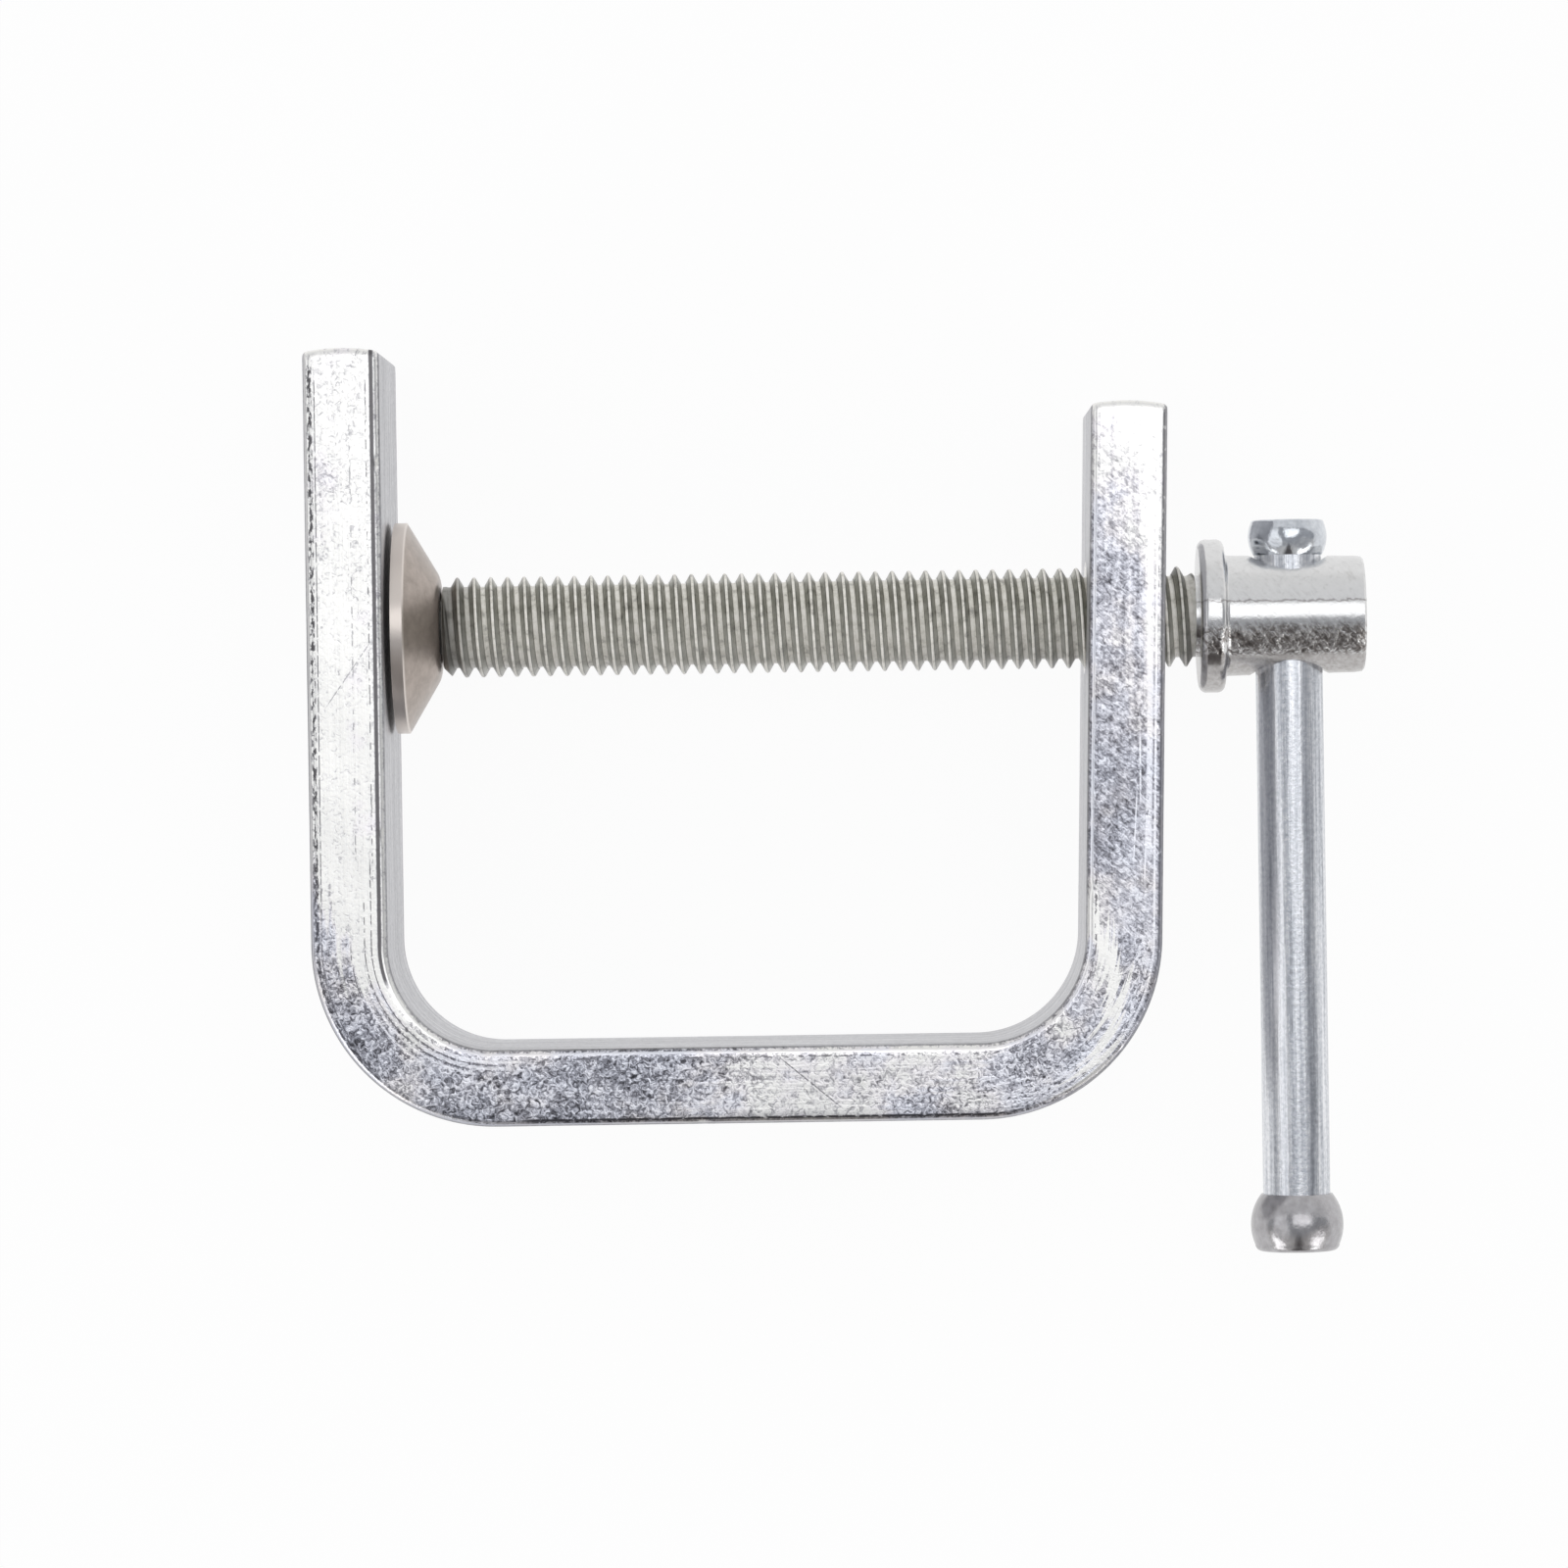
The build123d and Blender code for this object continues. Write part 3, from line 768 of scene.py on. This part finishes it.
def bar_ring(station, length, inset=0.0, shift=0.0, squeeze=1.0):
    """One ring of the bar's vertices, with each one's place on the bar. shift moves the ring
    along the bar, and squeeze flattens it to close a tip, where the bar's lines fade out."""
    way, point, direction = station
    out = Vector((direction.y, -direction.x))
    from_tip = min(way, length - way)
    tip_sign = -1 if way < length / 2 else 1
    arris = ARRIS_RADIUS + ARRIS_UNEVENNESS * smooth_noise((way, 0, 0), 6 * MM, 3.1)
    nicks = dents_in_metres(NICKS)
    vertices, places = [], []
    for offset in bar_section(inset, arris):
        nick = dent_depth(Vector((way, offset.x, offset.y)), nicks)
        offset -= offset.normalized() * nick
        across = offset.x * squeeze
        up = offset.y * (1 - (1 - squeeze) * BAR_THICKNESS / BAR_WIDTH)
        crown = TIP_CROWN * (1 - (2 * across / BAR_THICKNESS) ** 2)
        crown *= max(0.0, 1 - from_tip / TIP_CROWN_REACH)
        at = point + direction * (shift + tip_sign * crown) + out * across
        wave = FACE_WAVE * (1 + smooth_noise((at.x, at.y, up / 3), 7 * MM, 5.3))
        vertices.append((at.x, at.y, up - math.copysign(wave, up)))
        places.append((way + tip_sign * LINES_FADE_WAY * (1 - squeeze), across, up))
    return vertices, places


def tip_rings(station, length, sign):
    """Rings that round a tip over and close it along its middle line."""
    steps = 5
    rings = []
    for i in range(1, steps + 1):
        angle = math.pi / 2 * i / steps
        inset = TIP_ROUNDING * (1 - math.cos(angle))
        shift = sign * TIP_ROUNDING * (math.sin(angle) - 1)
        rings.append(bar_ring(station, length, inset, shift))
    for squeeze in (0.8, 0.6, 0.4, 0.2, 0.0):
        rings.append(bar_ring(station, length, TIP_ROUNDING, 0.0, squeeze))
    return rings


def tapped_hole_cutter():
    """The screw's own thread with its clearance, reaching out of both sides of the leg."""
    reach = 1.2 * MM
    start = JAW_OPENING - reach
    end = JAW_OPENING + BAR_THICKNESS + reach
    vertices, faces = threaded_rod(start, end, lambda x: THREAD_RADIUS, THREAD_CLEARANCE)
    count = len(vertices)
    faces.append(tuple(range(ROUND_STEPS)))
    faces.append(tuple(range(count - ROUND_STEPS, count)))
    places = [(TAPPED_HOLE_WAY, BAR_THICKNESS / 2, 0)] * count
    return new_piece(clean_mesh("tapped_hole_cutter", vertices, faces, places))


def mouth_cutter(face_x, sign):
    """A cone that breaks one mouth of the tapped hole, leaning as the leg does."""
    inner = THREAD_RADIUS - 0.9 * MM
    outer = THREAD_RADIUS + THREAD_CLEARANCE + THREAD_MOUTH_CHAMFER
    vertices = []
    for x, radius in ((sign * (inner - outer), inner), (0.0, outer), (sign * MM, outer)):
        for _, y, z in ring(x, radius):
            vertices.append((face_x + x + y * math.tan(SCREW_LEG_LEAN), y, z))
    faces = ring_faces(3, ROUND_STEPS)
    faces.append(tuple(range(ROUND_STEPS)))
    faces.append(tuple(range(2 * ROUND_STEPS, 3 * ROUND_STEPS)))
    places = [(TAPPED_HOLE_WAY, sign * BAR_THICKNESS / 2, 0)] * len(vertices)
    return new_piece(clean_mesh("mouth_cutter", vertices, faces, places))


def cut(piece, cutter):
    """Takes the cutter's shape out of the piece and removes the cutter."""
    cutting = piece.modifiers.new("cut", "BOOLEAN")
    cutting.operation = "DIFFERENCE"
    cutting.solver = "EXACT"
    cutting.object = cutter
    uncut = piece.data
    evaluated = piece.evaluated_get(bpy.context.evaluated_depsgraph_get())
    piece.data = bpy.data.meshes.new_from_object(evaluated)
    piece.modifiers.remove(cutting)
    bpy.data.meshes.remove(uncut)
    bpy.data.objects.remove(cutter)


def bent_bar():
    """The bar, closed at both tips, with its tapped hole and the chamfers at the hole's mouths."""
    stations = bar_stations()
    length = stations[-1][0]
    rings = tip_rings(stations[0], length, -1)[::-1]
    for station in stations:
        if TIP_ROUNDING < station[0] < length - TIP_ROUNDING:
            rings.append(bar_ring(station, length))
    rings += tip_rings(stations[-1], length, 1)
    vertices = [vertex for ring_vertices, _ in rings for vertex in ring_vertices]
    places = [place for _, ring_places in rings for place in ring_places]
    faces = ring_faces(len(rings), len(rings[0][0]))
    piece = new_piece(clean_mesh("bent_bar", vertices, faces, places))
    piece.data.materials.append(bright_zinc_plate())
    cut(piece, tapped_hole_cutter())
    cut(piece, mouth_cutter(JAW_OPENING, -1))
    cut(piece, mouth_cutter(JAW_OPENING + BAR_THICKNESS, 1))
    shade_smooth(piece.data)
    fit_piece(piece, "frame", "frame")


# The screw


def screw_thread():
    """Button, neck and thread, up to the plain neck at the collar."""
    thread_end = COLLAR_START - COLLAR_NECK
    root_radius = THREAD_RADIUS - THREAD_DEPTH
    dome_middle = BUTTON_START + BUTTON_DOME_RADIUS
    dome_angle = math.asin(BUTTON_RADIUS / BUTTON_DOME_RADIUS)
    button_end = dome_middle - BUTTON_DOME_RADIUS * math.cos(dome_angle) + BUTTON_SIDE

    def limit(x):
        front = THREAD_FRONT_RADIUS + (x - THREAD_START)
        runout = root_radius + THREAD_DEPTH * (thread_end - x) / THREAD_RUNOUT
        return min(THREAD_RADIUS, front, runout)

    vertices = []
    for i in range(DOME_STEPS + 1):
        angle = dome_angle * i / DOME_STEPS
        x = dome_middle - BUTTON_DOME_RADIUS * math.cos(angle)
        vertices += ring(x, BUTTON_DOME_RADIUS * math.sin(angle))
    vertices += ring(button_end, BUTTON_RADIUS)
    vertices += ring(button_end, NECK_RADIUS)
    vertices += ring(THREAD_START, NECK_RADIUS)
    first = len(vertices)
    thread_vertices, thread_faces = threaded_rod(THREAD_START, thread_end, limit, 0.0)
    vertices += thread_vertices
    faces = ring_faces(first // ROUND_STEPS + 1, ROUND_STEPS)
    faces += [tuple(first + i for i in face) for face in thread_faces]
    faces.append(tuple(range(len(vertices) - ROUND_STEPS, len(vertices))))
    piece = new_piece(clean_mesh("screw_thread", vertices, faces))
    piece.data.materials.append(rolled_thread_zinc())
    shade_smooth(piece.data)
    fit_piece(piece, "spindle", "spindle")


def screw_head():
    """Plain neck, collar and head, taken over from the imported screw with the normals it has
    there, and closed at the front, where the thread meets it."""
    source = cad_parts["spindle"].data
    front = COLLAR_START - COLLAR_NECK
    index = {}
    vertices, faces, normals = [], [], []
    for polygon in source.polygons:
        if min(source.vertices[v].co.x for v in polygon.vertices) < front - SAME_PLACE:
            continue
        for v in polygon.vertices:
            if v not in index:
                index[v] = len(vertices)
                vertices.append(source.vertices[v].co.copy())
        faces.append([index[v] for v in polygon.vertices])
        normals.extend(source.corner_normals[i].vector.copy() for i in polygon.loop_indices)
    rim = [i for i, vertex in enumerate(vertices) if vertex.x < front + SAME_PLACE]
    rim.sort(key=lambda i: -math.atan2(vertices[i].z, vertices[i].y))
    faces.append(rim)
    normals.extend(Vector((-1, 0, 0)) for _ in rim)
    mesh = bpy.data.meshes.new("screw_head")
    mesh.from_pydata(vertices, [], faces)
    mesh.shade_smooth()
    mesh.normals_split_custom_set(normals)
    mesh.materials.append(forged_head_zinc())
    fit_piece(new_piece(mesh), "spindle", "spindle")


# The sliding bar


def arc_through(first, middle, last, steps):
    """Points of the circle through three (radius, height) points, from first to last."""
    (ax, ay), (bx, by), (cx, cy) = first, middle, last
    a, b, c = ax**2 + ay**2, bx**2 + by**2, cx**2 + cy**2
    double_area = 2 * (ax * (by - cy) + bx * (cy - ay) + cx * (ay - by))
    x = (a * (by - cy) + b * (cy - ay) + c * (ay - by)) / double_area
    y = (a * (cx - bx) + b * (ax - cx) + c * (bx - ax)) / double_area
    radius = math.hypot(ax - x, ay - y)
    start = math.atan2(ay - y, ax - x)
    sweep = math.atan2(cy - y, cx - x) - start
    turns = [start + sweep * i / steps for i in range(steps + 1)]
    return [(x + radius * math.cos(turn), y + radius * math.sin(turn)) for turn in turns]


def head_outline(root, widest, end, corner):
    """A head's outline as (radius, height) points, from its root on the rod to the middle of
    its flat end. root, widest and end are such points too, and corner rounds the end's edge."""
    side_steps, corner_steps = 28, 6
    outward = math.copysign(1.0, end[1] - root[1])
    side_end = (end[0], end[1] - outward * corner)
    outline = arc_through(root, widest, side_end, side_steps)
    for i in range(1, corner_steps + 1):
        angle = math.pi / 2 * i / corner_steps
        radius = end[0] - corner * (1 - math.cos(angle))
        outline.append((radius, end[1] - outward * corner * (1 - math.sin(angle))))
    flat = end[0] - corner
    outline += [(flat * share, end[1]) for share in (0.75, 0.5, 0.25, 0.0)]
    return outline


def sliding_bar():
    """The rod and its two upset heads, turned about one axis and pressed in by the die."""
    small = head_outline(*SMALL_HEAD, SMALL_HEAD_CORNER)
    large = head_outline(*LARGE_HEAD, LARGE_HEAD_CORNER)
    span = SMALL_HEAD_ROOT - LARGE_HEAD_ROOT
    shaft = [(ROD_RADIUS, LARGE_HEAD_ROOT + span * i / ROD_STEPS) for i in range(ROD_STEPS + 1)]
    outline = large[::-1] + shaft + small
    dents = dents_in_metres(HEAD_DENTS, ROD_AXIS)
    vertices = []
    for radius, height in outline:
        for i in range(ROUND_STEPS):
            angle = 2 * math.pi * i / ROUND_STEPS
            side = Vector((math.cos(angle), 0, math.sin(angle)))
            at = Vector((ROD_AXIS, height, 0)) + side * radius
            if radius > ROD_RADIUS / 2:
                at -= side * dent_depth(at, dents)
            vertices.append(at[:])
    piece = new_piece(clean_mesh("sliding_bar", vertices, ring_faces(len(outline), ROUND_STEPS)))
    mesh = piece.data
    mesh.materials.append(drawn_rod_zinc())
    mesh.materials.append(upset_head_zinc("mirror_bright_zinc", "#c0c4ca", "#dfe3e8", 0.14))
    mesh.materials.append(upset_head_zinc("satin_zinc", "#a6a4a6", "#bbbabc", 0.23))
    for face in mesh.polygons:
        if face.center.y > SMALL_HEAD_ROOT - SAME_PLACE:
            face.material_index = 1
        elif face.center.y < LARGE_HEAD_ROOT + SAME_PLACE:
            face.material_index = 2
    shade_smooth(mesh)
    fit_piece(piece, "tommy_bar", "tommy_bar")


def finish_packed_nodes():
    """New materials for the pad and the wire ring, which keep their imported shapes."""
    for node, material in (("swivel_pad", turned_steel()), ("snap_ring", spring_steel_wire())):
        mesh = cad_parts[node].data
        mesh.materials.clear()
        mesh.materials.append(material)


# The table, the light and the camera


def white_table():
    """White card. The camera and polished metal see mostly its own white, with a share of the
    lit surface mixed in, so that it keeps the clamp's shadow."""
    material, tree = new_material("white_card")
    paths = add_node(tree, "ShaderNodeLightPath", output=None)
    seen = add_node(tree, "ShaderNodeMath", [paths["Is Camera Ray"], paths["Is Glossy Ray"]],
        operation="MAXIMUM")
    seen = add_node(tree, "ShaderNodeMath", [seen, paths["Is Transmission Ray"]],
        operation="MAXIMUM")
    share = add_node(tree, "ShaderNodeMath", [seen, TABLE_OWN_WHITE], operation="MULTIPLY")
    card = add_node(tree, "ShaderNodeBsdfDiffuse", {"Color": linear("#fafafa")})
    white = add_node(tree, "ShaderNodeEmission", {"Color": linear("#ffffff"), "Strength": 1.0})
    mixed = add_node(tree, "ShaderNodeMixShader", [share, card, white])
    add_node(tree, "ShaderNodeOutputMaterial", [mixed], None)
    half = TABLE_HALF_WIDTH
    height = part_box("frame")[0].z
    corners = [(-half, -half, height), (half, -half, height), (half, half, height),
        (-half, half, height)]
    table = new_piece(clean_mesh("white_table", corners, [(0, 1, 2, 3)]))
    table.data.materials.append(material)


def studio_walls():
    """Soft light from all round: light grey beyond the tips and on the near side, but dark
    straight in front, mid grey overhead, and a pale band near the horizon."""
    world = bpy.data.worlds.new("studio_walls")
    bpy.context.scene.world = world
    world.use_nodes = True
    tree = world.node_tree
    tree.nodes.clear()
    direction = add_node(tree, "ShaderNodeTexCoord", output="Generated")
    parts = add_node(tree, "ShaderNodeSeparateXYZ", [direction], None)
    slope = add_node(tree, "ShaderNodeMath", [parts["Y"], parts["Z"]], operation="ARCTAN2")
    slope = add_node(tree, "ShaderNodeMapRange", [slope, -math.pi / 2, math.pi / 2])
    walls = add_node(tree, "ShaderNodeValToRGB", [slope], stops=[(0.0, "#dcdad8"),
        (0.3, "#cccac8"), (0.4, "#a2a4a8"), (0.6, "#a8aaae"), (0.64, "#98989a"),
        (0.66, "#e6e7e9"), (1.0, "#f0f0f0")])
    dark = add_node(tree, "ShaderNodeValToRGB", [slope], stops=[(0.0, "#7a7674"),
        (0.12, "#5e5a5a"), (0.32, "#5a5656"), (0.4, "#a2a4a8")])
    near = add_node(tree, "ShaderNodeMath", [parts["Y"], -1.0], operation="MULTIPLY")
    aside = add_node(tree, "ShaderNodeMath", [parts["X"], near], operation="ARCTAN2")
    aside = add_node(tree, "ShaderNodeMath", [aside], operation="ABSOLUTE")
    straight = add_node(tree, "ShaderNodeMapRange", [aside, math.radians(20), math.radians(12)])
    walls = add_node(tree, "ShaderNodeMix", {"Factor": straight, "A": walls, "B": dark},
        "Result", data_type="RGBA")
    low = add_node(tree, "ShaderNodeMapRange", [parts["Z"], 0.24, 0.1],
        interpolation_type="SMOOTHSTEP")
    walls = add_node(tree, "ShaderNodeMix", {"Factor": low, "A": walls, "B": linear("#f4f4f4")},
        "Result", data_type="RGBA")
    light = add_node(tree, "ShaderNodeBackground", {"Color": walls, "Strength": 1.0})
    add_node(tree, "ShaderNodeOutputWorld", [light], None)


def softbox(name, x_from, x_to, y_from, y_to, radiance):
    """A flat lamp overhead that fills these angles, in degrees from straight up."""
    low_x, high_x, low_y, high_y = [LAMP_HEIGHT * math.tan(math.radians(angle))
        for angle in (x_from, x_to, y_from, y_to)]
    data = bpy.data.lights.new(name, "AREA")
    data.shape = "RECTANGLE"
    data.size = high_x - low_x
    data.size_y = high_y - low_y
    data.energy = radiance * math.pi * data.size * data.size_y
    lamp = bpy.data.objects.new(name, data)
    lamp.location = ((low_x + high_x) / 2, (low_y + high_y) / 2, LAMP_HEIGHT)
    bpy.context.scene.collection.objects.link(lamp)


def camera():
    """Straight above the clamp and turned a little, as the photograph was taken."""
    data = bpy.data.cameras.new("camera")
    data.lens = CAMERA_LENS
    data.sensor_width = SENSOR_WIDTH
    data.clip_start = 0.05
    back = (CAMERA_PLACE - CAMERA_AIM).normalized()
    upwards = Vector((math.sin(CAMERA_ROLL), math.cos(CAMERA_ROLL), 0))
    right = upwards.cross(back).normalized()
    turn = Matrix((right, back.cross(right), back)).transposed().to_4x4()
    eye = bpy.data.objects.new("camera", data)
    eye.matrix_world = Matrix.Translation(CAMERA_PLACE) @ turn
    bpy.context.scene.collection.objects.link(eye)
    bpy.context.scene.camera = eye


bent_bar()
screw_thread()
screw_head()
sliding_bar()
finish_packed_nodes()
white_table()
studio_walls()
for softbox_name, angles_and_radiance in SOFTBOXES.items():
    softbox(softbox_name, *angles_and_radiance)
camera()
bpy.context.scene.view_settings.view_transform = "Standard"
